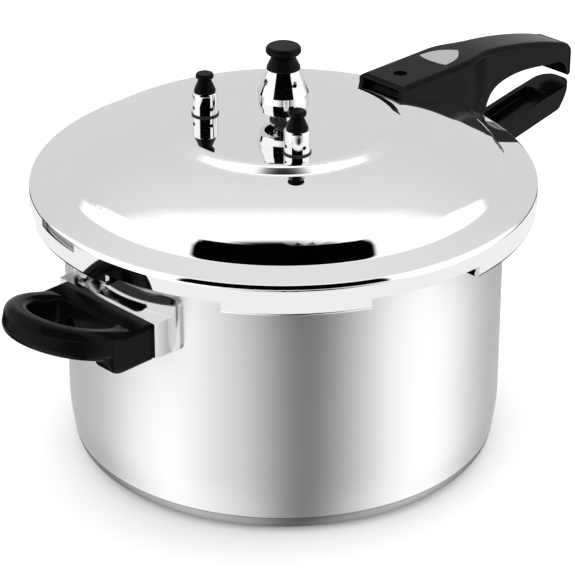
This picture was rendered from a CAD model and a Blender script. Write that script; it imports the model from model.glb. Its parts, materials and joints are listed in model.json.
import bpy
import json
import math
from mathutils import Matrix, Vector

# Looks of the pressure canner. Metres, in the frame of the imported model: +Z up, the long
# handles along +X, origin in the middle of the pot's base.

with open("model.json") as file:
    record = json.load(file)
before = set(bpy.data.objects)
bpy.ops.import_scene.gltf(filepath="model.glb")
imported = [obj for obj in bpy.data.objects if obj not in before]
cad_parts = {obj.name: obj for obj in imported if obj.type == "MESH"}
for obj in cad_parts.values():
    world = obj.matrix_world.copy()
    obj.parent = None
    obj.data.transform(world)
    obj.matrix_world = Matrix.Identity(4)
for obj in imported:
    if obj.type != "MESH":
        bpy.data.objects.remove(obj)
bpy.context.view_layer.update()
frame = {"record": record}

CAMERA_AZIMUTH = math.radians(-134.5)    # camera stands on the -X -Y side
CAMERA_ELEVATION = math.radians(27.2)
CAMERA_DISTANCE = 1.5132
CAMERA_TARGET = Vector((0.0016, -0.0015, 0.0880))
CAMERA_LENS = 167.7
SENSOR = 36.0

TOWARD = Vector((math.cos(CAMERA_AZIMUTH), math.sin(CAMERA_AZIMUTH), 0))
RIGHT = Vector((-TOWARD.y, TOWARD.x, 0))

BASE_BAND = 0.0105       # height of the satin band around the base
FLOOR_HALF = 3.0
FLOOR_GREY = 0.92
FILL_LIGHT = 1.5         # strength of the even light on dull surfaces
TABLE_LIGHT = 0.92       # brightness of everything near the floor, as mirrors see it
CARD_SLANT = 0.467       # the dark card over the camera widens towards the camera at this rate
CARD_HALF = (0.41, 0.36)
SHOULDER_R, SHOULDER_Z = 0.1374, 0.15751    # middle of the rounding between flange and skirt
SHOULDER_EDGE = 0.0008                      # it starts this far outside its middle

# brightness of the room around the object: (turn, brightness), turn 0.5 is at the camera
WALLS = [(0.0, 0.0), (0.17, 0.0), (0.209, 0.42), (0.245, 1.0), (0.273, 1.38), (0.328, 1.6), (0.40, 1.2),
         (0.455, 0.74), (0.49, 0.28), (0.525, 0.0), (0.555, 0.0), (0.60, 0.54), (0.65, 1.05), (0.70, 1.45),
         (0.755, 1.55), (0.794, 1.0), (0.826, 0.30), (0.86, 0.0), (1.0, 0.0)]


# ---- camera, floor and light -------------------------------------------------------------
def add_camera():
    flat = -TOWARD
    forward = flat * math.cos(CAMERA_ELEVATION) - Vector((0, 0, math.sin(CAMERA_ELEVATION)))
    data = bpy.data.cameras.new("camera")
    data.lens = CAMERA_LENS
    data.sensor_width = SENSOR
    camera = bpy.data.objects.new("camera", data)
    camera.location = CAMERA_TARGET - forward * CAMERA_DISTANCE
    camera.rotation_euler = forward.to_track_quat("-Z", "Y").to_euler()
    bpy.context.collection.objects.link(camera)
    bpy.context.scene.camera = camera


class Nodes:
    """Short way to build a node tree."""

    def __init__(self, tree):
        self.tree = tree
        tree.nodes.clear()

    def add(self, kind, **values):
        node = self.tree.nodes.new(kind)
        for name, value in values.items():
            if hasattr(node, name):
                setattr(node, name, value)
            else:
                node.inputs[name].default_value = value
        return node

    def link(self, source, target):
        self.tree.links.new(source, target)

    def math(self, operation, a, b=None, clamp=False):
        node = self.tree.nodes.new("ShaderNodeMath")
        node.operation = operation
        node.use_clamp = clamp
        for index, value in enumerate((a, b)):
            if value is None:
                continue
            if isinstance(value, (int, float)):
                node.inputs[index].default_value = value
            else:
                self.link(value, node.inputs[index])
        return node.outputs[0]

    def step(self, source, start, end):
        """0 before start and 1 after end, or the other way round if start is larger."""
        node = self.tree.nodes.new("ShaderNodeMapRange")
        node.interpolation_type = "SMOOTHSTEP"
        node.inputs["From Min"].default_value = min(start, end)
        node.inputs["From Max"].default_value = max(start, end)
        node.inputs["To Min"].default_value = 0.0 if start < end else 1.0
        node.inputs["To Max"].default_value = 1.0 if start < end else 0.0
        self.link(source, node.inputs[0])
        return node.outputs[0]

    def blend(self, factor, a, b):
        """a where factor is 0 and b where it is 1."""
        part_b = self.math("MULTIPLY", factor, b)
        part_a = self.math("MULTIPLY", self.math("SUBTRACT", 1.0, factor), a)
        return self.math("ADD", part_a, part_b)

    def ramp(self, source, stops):
        """Grey value from (position, value) stops, straight between them."""
        node = self.tree.nodes.new("ShaderNodeValToRGB")
        node.color_ramp.interpolation = "LINEAR"
        elements = node.color_ramp.elements
        while len(elements) < len(stops):
            elements.new(0.5)
        for element, (position, value) in zip(elements, stops):
            element.position = position
            element.color = (value, value, value, 1)
        self.link(source, node.inputs[0])
        return node.outputs[0]


def studio_light():
    """White room: even light on dull surfaces, and soft pale walls with dark gaps in reflections."""
    world = bpy.data.worlds.new("studio")
    bpy.context.scene.world = world
    world.use_nodes = True
    n = Nodes(world.node_tree)
    direction = n.add("ShaderNodeTexCoord").outputs["Generated"]
    split = n.add("ShaderNodeSeparateXYZ")
    n.link(direction, split.inputs[0])
    x, y, z = split.outputs
    toward = n.math("ADD", n.math("MULTIPLY", x, TOWARD.x), n.math("MULTIPLY", y, TOWARD.y))
    right = n.math("ADD", n.math("MULTIPLY", x, RIGHT.x), n.math("MULTIPLY", y, RIGHT.y))
    aside = n.math("ABSOLUTE", right)
    # turn: azimuth about the vertical, 0.5 towards the camera, more to its right
    turn = n.math("ADD", n.math("DIVIDE", n.math("ARCTAN2", right, toward), 2 * math.pi), 0.5)

    # pale walls with darker gaps between them, seen by the upright surfaces, over a pale table
    walls = n.ramp(turn, WALLS)
    table = n.math("MULTIPLY", n.step(z, -0.53, -0.50), n.step(z, -0.40, -0.42))
    low = n.blend(table, walls, TABLE_LIGHT)
    # ceiling: grey at the back, white over the object, and a dark card over the camera
    grey = n.blend(n.step(z, 0.45, 0.90), 0.70, 0.80)
    ceiling = n.blend(n.step(toward, -0.52, -0.42), grey, 1.1)
    spread = n.math("SUBTRACT", aside, n.math("MULTIPLY", toward, CARD_SLANT))
    card = n.math("MULTIPLY", n.step(z, 0.12, 0.20), n.step(toward, -0.225, -0.185))
    card = n.math("MULTIPLY", card, n.step(spread, *CARD_HALF))
    high = n.blend(card, ceiling, 0.0)
    # the ceiling starts at the horizon, and lower down behind the object
    rise = n.math("ADD", z, n.math("MULTIPLY", n.step(toward, 0.0, -0.5), 0.25))
    rise = n.math("ADD", rise, n.math("MULTIPLY", n.step(toward, -0.85, -0.885), 0.5))
    seen = n.blend(n.step(rise, -0.04, 0.08), low, high)
    glossy = n.add("ShaderNodeBackground")
    n.link(seen, glossy.inputs["Color"])

    plain = n.add("ShaderNodeBackground", Color=(1, 1, 1, 1), Strength=FILL_LIGHT)
    path = n.add("ShaderNodeLightPath")
    mix = n.add("ShaderNodeMixShader")
    n.link(path.outputs["Is Glossy Ray"], mix.inputs[0])
    n.link(plain.outputs[0], mix.inputs[1])
    n.link(glossy.outputs[0], mix.inputs[2])
    n.link(mix.outputs[0], n.add("ShaderNodeOutputWorld").inputs["Surface"])
    bpy.context.scene.view_settings.view_transform = "Standard"


def add_floor():
    mesh = bpy.data.meshes.new("floor")
    half = FLOOR_HALF
    corners = [(-half, -half, 0), (half, -half, 0), (half, half, 0), (-half, half, 0)]
    mesh.from_pydata(corners, [], [(0, 1, 2, 3)])
    floor = bpy.data.objects.new("floor", mesh)
    bpy.context.collection.objects.link(floor)
    material = bpy.data.materials.new("floor_white")
    material.use_nodes = True
    n = Nodes(material.node_tree)
    surface = n.add("ShaderNodeBsdfDiffuse", Color=(FLOOR_GREY, FLOOR_GREY, FLOOR_GREY, 1))
    n.link(surface.outputs[0], n.add("ShaderNodeOutputMaterial").inputs[0])
    mesh.materials.append(material)
    floor.visible_glossy = False


# ---- materials ---------------------------------------------------------------------------
def principled(name):
    material = bpy.data.materials.new(name)
    material.use_nodes = True
    n = Nodes(material.node_tree)
    shader = n.add("ShaderNodeBsdfPrincipled")
    n.link(shader.outputs[0], n.add("ShaderNodeOutputMaterial").inputs[0])
    place = n.add("ShaderNodeTexCoord").outputs["Object"]
    return material, n, shader, place


def noise(n, place, scale, detail=3.0, stretch=None):
    source = place
    if stretch:
        mapping = n.add("ShaderNodeMapping")
        mapping.inputs["Scale"].default_value = stretch
        n.link(place, mapping.inputs[0])
        source = mapping.outputs[0]
    texture = n.add("ShaderNodeTexNoise", Scale=scale, Detail=detail)
    n.link(source, texture.inputs["Vector"])
    return texture.outputs["Fac"]


def vary(n, source, low, high, target):
    """Spread a 0..1 noise between low and high into a socket."""
    spread = n.add("ShaderNodeMapRange")
    spread.inputs["To Min"].default_value = low
    spread.inputs["To Max"].default_value = high
    spread.inputs["From Min"].default_value = 0.3
    spread.inputs["From Max"].default_value = 0.7
    n.link(source, spread.inputs[0])
    n.link(spread.outputs[0], target)


def bump(n, shader, source, strength, distance):
    node = n.add("ShaderNodeBump", Strength=strength, Distance=distance)
    n.link(source, node.inputs["Height"])
    n.link(node.outputs[0], shader.inputs["Normal"])


def tint(n, shader, source, colour, spread):
    """Colour that drifts a little around a value, as a worn or handled surface does."""
    mix = n.add("ShaderNodeMix", data_type="RGBA")
    mix.inputs["A"].default_value = (*[part * (1 - spread) for part in colour], 1)
    mix.inputs["B"].default_value = (*[min(1.0, part * (1 + spread)) for part in colour], 1)
    n.link(source, mix.inputs["Factor"])
    n.link(mix.outputs["Result"], shader.inputs["Base Color"])
    return mix


def edge_wear(n, mix, shader, radius, colour):
    """Rubbed edges: where the bevelled normal leaves the true one the colour turns to `colour`."""
    bevel = n.add("ShaderNodeBevel", samples=4)
    bevel.inputs["Radius"].default_value = radius
    geometry = n.add("ShaderNodeNewGeometry")
    dot = n.add("ShaderNodeVectorMath", operation="DOT_PRODUCT")
    n.link(bevel.outputs[0], dot.inputs[0])
    n.link(geometry.outputs["Normal"], dot.inputs[1])
    worn = n.step(dot.outputs["Value"], 0.985, 0.90)
    rubbed = n.add("ShaderNodeMix", data_type="RGBA")
    rubbed.inputs["B"].default_value = (*colour, 1)
    n.link(worn, rubbed.inputs["Factor"])
    n.link(mix.outputs["Result"], rubbed.inputs["A"])
    n.link(rubbed.outputs["Result"], shader.inputs["Base Color"])


def metal(name, colour, low, high, scale, relief, stretch=None, wear=None):
    """Bare metal: clouded colour, grain in the roughness (low..high) and relief, brighter edges
    over the width `wear`."""
    material, n, shader, place = principled(name)
    shader.inputs["Metallic"].default_value = 1.0
    cloud = noise(n, place, 22.0)
    mix = tint(n, shader, cloud, colour, 0.045)
    if wear:
        edge_wear(n, mix, shader, wear, [min(1.0, part * 1.12) for part in colour])
    grain = noise(n, place, scale, 5.0, stretch)
    vary(n, grain, low, high, shader.inputs["Roughness"])
    bump(n, shader, grain, relief, 0.0002)
    return material


def pot_metal():
    """Turned aluminium: fine rings around the wall, with a duller band at the base."""
    material, n, shader, place = principled("pot_aluminium")
    shader.inputs["Metallic"].default_value = 1.0
    shader.inputs["Anisotropic"].default_value = 0.9
    shader.inputs["Anisotropic Rotation"].default_value = 0.25
    tangent = n.add("ShaderNodeTangent", direction_type="RADIAL", axis="Z")
    n.link(tangent.outputs[0], shader.inputs["Tangent"])
    split = n.add("ShaderNodeSeparateXYZ")
    n.link(place, split.inputs[0])
    height = n.math("DIVIDE", split.outputs[2], BASE_BAND, clamp=True)
    band = n.ramp(height, [(0.0, 0.42), (0.90, 0.46), (0.97, 0.25), (1.0, 0.90)])
    rings = noise(n, place, 60.0, 4.0, (0.02, 0.02, 60.0))
    cloud = noise(n, place, 14.0)
    shade = n.math("ADD", n.math("MULTIPLY", rings, 0.05), n.math("MULTIPLY", cloud, 0.05))
    colour = n.math("MULTIPLY", band, n.math("ADD", shade, 0.95))
    n.link(colour, shader.inputs["Base Color"])
    vary(n, rings, 0.40, 0.46, shader.inputs["Roughness"])
    bump(n, shader, rings, 0.05, 0.0001)
    return material


def phenolic(name):
    """Glossy moulded black plastic with a faint ripple in the polish and edges rubbed to dark grey."""
    material, n, shader, place = principled(name)
    shader.inputs["Specular IOR Level"].default_value = 0.06
    mix = tint(n, shader, noise(n, place, 35.0), (0.0022, 0.0022, 0.0024), 0.4)
    edge_wear(n, mix, shader, 0.0012, (0.008, 0.008, 0.0085))
    vary(n, noise(n, place, 140.0), 0.12, 0.22, shader.inputs["Roughness"])
    bump(n, shader, noise(n, place, 60.0), 0.06, 0.0006)
    return material


def soft_plastic(name, colour, low, high):
    """Silicone or rubber: dull, with a fine moulded grain and a dusty drift of colour."""
    material, n, shader, place = principled(name)
    tint(n, shader, noise(n, place, 60.0), colour, 0.12)
    grain = noise(n, place, 300.0)
    vary(n, grain, low, high, shader.inputs["Roughness"])
    bump(n, shader, grain, 0.1, 0.0002)
    return material


def valve_chrome():
    """Chrome plate with dark recesses: the drilled holes and the seams."""
    material, n, shader, place = principled("valve_chrome")
    shader.inputs["Metallic"].default_value = 1.0
    mix = tint(n, shader, noise(n, place, 60.0), (0.88, 0.88, 0.89), 0.03)
    recess = n.add("ShaderNodeAmbientOcclusion", samples=8)
    recess.inputs["Distance"].default_value = 0.004
    open_face = n.step(recess.outputs["AO"], 0.22, 0.50)
    dark = n.add("ShaderNodeMix", data_type="RGBA")
    dark.inputs["A"].default_value = (0.01, 0.01, 0.01, 1)
    n.link(open_face, dark.inputs["Factor"])
    n.link(mix.outputs["Result"], dark.inputs["B"])
    n.link(dark.outputs["Result"], shader.inputs["Base Color"])
    grain = noise(n, place, 120.0, 5.0)
    vary(n, grain, 0.02, 0.05, shader.inputs["Roughness"])
    bump(n, shader, grain, 0.01, 0.0002)
    return material


def lid_metal():
    """Mirror-polished aluminium with hair-fine polishing lines that run around the lid."""
    material, n, shader, place = principled("lid_polished")
    shader.inputs["Metallic"].default_value = 1.0
    tint(n, shader, noise(n, place, 18.0), (0.93, 0.93, 0.935), 0.012)
    split = n.add("ShaderNodeSeparateXYZ")
    n.link(place, split.inputs[0])
    flat = n.add("ShaderNodeCombineXYZ")
    n.link(split.outputs[0], flat.inputs[0])
    n.link(split.outputs[1], flat.inputs[1])
    reach = n.add("ShaderNodeVectorMath", operation="LENGTH")
    n.link(flat.outputs[0], reach.inputs[0])
    around = n.add("ShaderNodeCombineXYZ")
    n.link(reach.outputs["Value"], around.inputs[0])
    n.link(split.outputs[2], around.inputs[2])
    lines = noise(n, around.outputs[0], 900.0, 5.0)
    smear = noise(n, place, 30.0)
    worn = n.math("ADD", n.math("MULTIPLY", lines, 0.35), n.math("MULTIPLY", smear, 0.65))
    vary(n, worn, 0.012, 0.036, shader.inputs["Roughness"])
    relief = n.add("ShaderNodeBump", Strength=0.012, Distance=0.00005)
    n.link(lines, relief.inputs["Height"])
    n.link(shoulder_normal(n, place, reach.outputs["Value"], flat.outputs[0]), relief.inputs["Normal"])
    n.link(relief.outputs[0], shader.inputs["Normal"])
    return material


def shoulder_normal(n, place, reach, flat):
    """Normal of a true torus on the rounded top edge of the skirt, where facets would show
    in the mirror finish; the mesh's own normal elsewhere."""
    geometry = n.add("ShaderNodeNewGeometry")
    split = n.add("ShaderNodeSeparateXYZ")
    n.link(place, split.inputs[0])
    outward = n.add("ShaderNodeVectorMath", operation="NORMALIZE")
    n.link(flat, outward.inputs[0])
    side = n.add("ShaderNodeVectorMath", operation="SCALE")
    n.link(outward.outputs[0], side.inputs[0])
    away = n.math("MAXIMUM", n.math("SUBTRACT", reach, SHOULDER_R), 0.0)
    n.link(away, side.inputs["Scale"])
    up = n.add("ShaderNodeCombineXYZ")
    n.link(n.math("MAXIMUM", n.math("SUBTRACT", split.outputs[2], SHOULDER_Z), 0.0), up.inputs[2])
    total = n.add("ShaderNodeVectorMath", operation="ADD")
    n.link(side.outputs[0], total.inputs[0])
    n.link(up.outputs[0], total.inputs[1])
    smooth = n.add("ShaderNodeVectorMath", operation="NORMALIZE")
    n.link(total.outputs[0], smooth.inputs[0])
    world = n.add("ShaderNodeVectorTransform", vector_type="NORMAL",
                  convert_from="OBJECT", convert_to="WORLD")
    n.link(smooth.outputs[0], world.inputs[0])
    agree = n.add("ShaderNodeVectorMath", operation="DOT_PRODUCT")
    n.link(world.outputs[0], agree.inputs[0])
    n.link(geometry.outputs["Normal"], agree.inputs[1])
    here = n.math("GREATER_THAN", agree.outputs["Value"], 0.93)
    here = n.math("MULTIPLY", here, n.math("GREATER_THAN", reach, SHOULDER_R + SHOULDER_EDGE))
    here = n.math("MULTIPLY", here, n.math("GREATER_THAN", split.outputs[2], SHOULDER_Z))
    mix = n.add("ShaderNodeMix", data_type="VECTOR")
    n.link(here, mix.inputs["Factor"])
    n.link(geometry.outputs["Normal"], mix.inputs["A"])
    n.link(world.outputs[0], mix.inputs["B"])
    return mix.outputs["Result"]


def assign_materials():
    across, along = (1.0, 0.04, 1.0), (0.05, 1.0, 1.0)    # directions of brushed grain
    looks = {
        "pot_aluminium": pot_metal(),
        "lid_polished": lid_metal(),
        "handle_phenolic": phenolic("handle_phenolic"),
        "knob_phenolic": phenolic("knob_phenolic"),
        "bracket_steel": metal("bracket_steel", (0.80, 0.80, 0.81), 0.06, 0.12,
                               500.0, 0.06, across, 0.0008),
        "rivet_aluminium": metal("rivet_aluminium", (0.80, 0.80, 0.80), 0.25, 0.4, 700.0, 0.1, wear=0.0005),
        "screw_steel": metal("screw_steel", (0.62, 0.62, 0.63), 0.25, 0.4, 900.0, 0.1, wear=0.0003),
        "badge_metal": metal("badge_metal", (0.60, 0.61, 0.62), 0.35, 0.5, 900.0, 0.12, along, 0.0005),
        "silicone": soft_plastic("silicone", (0.32, 0.32, 0.32), 0.4, 0.55),
        "washer_rubber": soft_plastic("washer_rubber", (0.01, 0.01, 0.01), 0.5, 0.7),
        "spring_steel": metal("spring_steel", (0.6, 0.6, 0.6), 0.2, 0.3, 1500.0, 0.1),
        "fitting_metal": metal("fitting_metal", (0.78, 0.76, 0.70), 0.12, 0.2, 900.0, 0.08, wear=0.0004),
        "screen_steel": metal("screen_steel", (0.65, 0.65, 0.65), 0.2, 0.35, 1500.0, 0.1),
        "valve_chrome": valve_chrome(),
        "rack_aluminium": metal("rack_aluminium", (0.75, 0.75, 0.76), 0.35, 0.5, 400.0, 0.12, wear=0.0008),
    }
    slots = {part["node"]: part["material_slot"] for part in frame["record"]["subparts"]}
    for name, slot in slots.items():
        obj = bpy.data.objects[name]
        for place in obj.material_slots:
            place.material = looks[slot]


add_camera()
studio_light()
add_floor()
assign_materials()
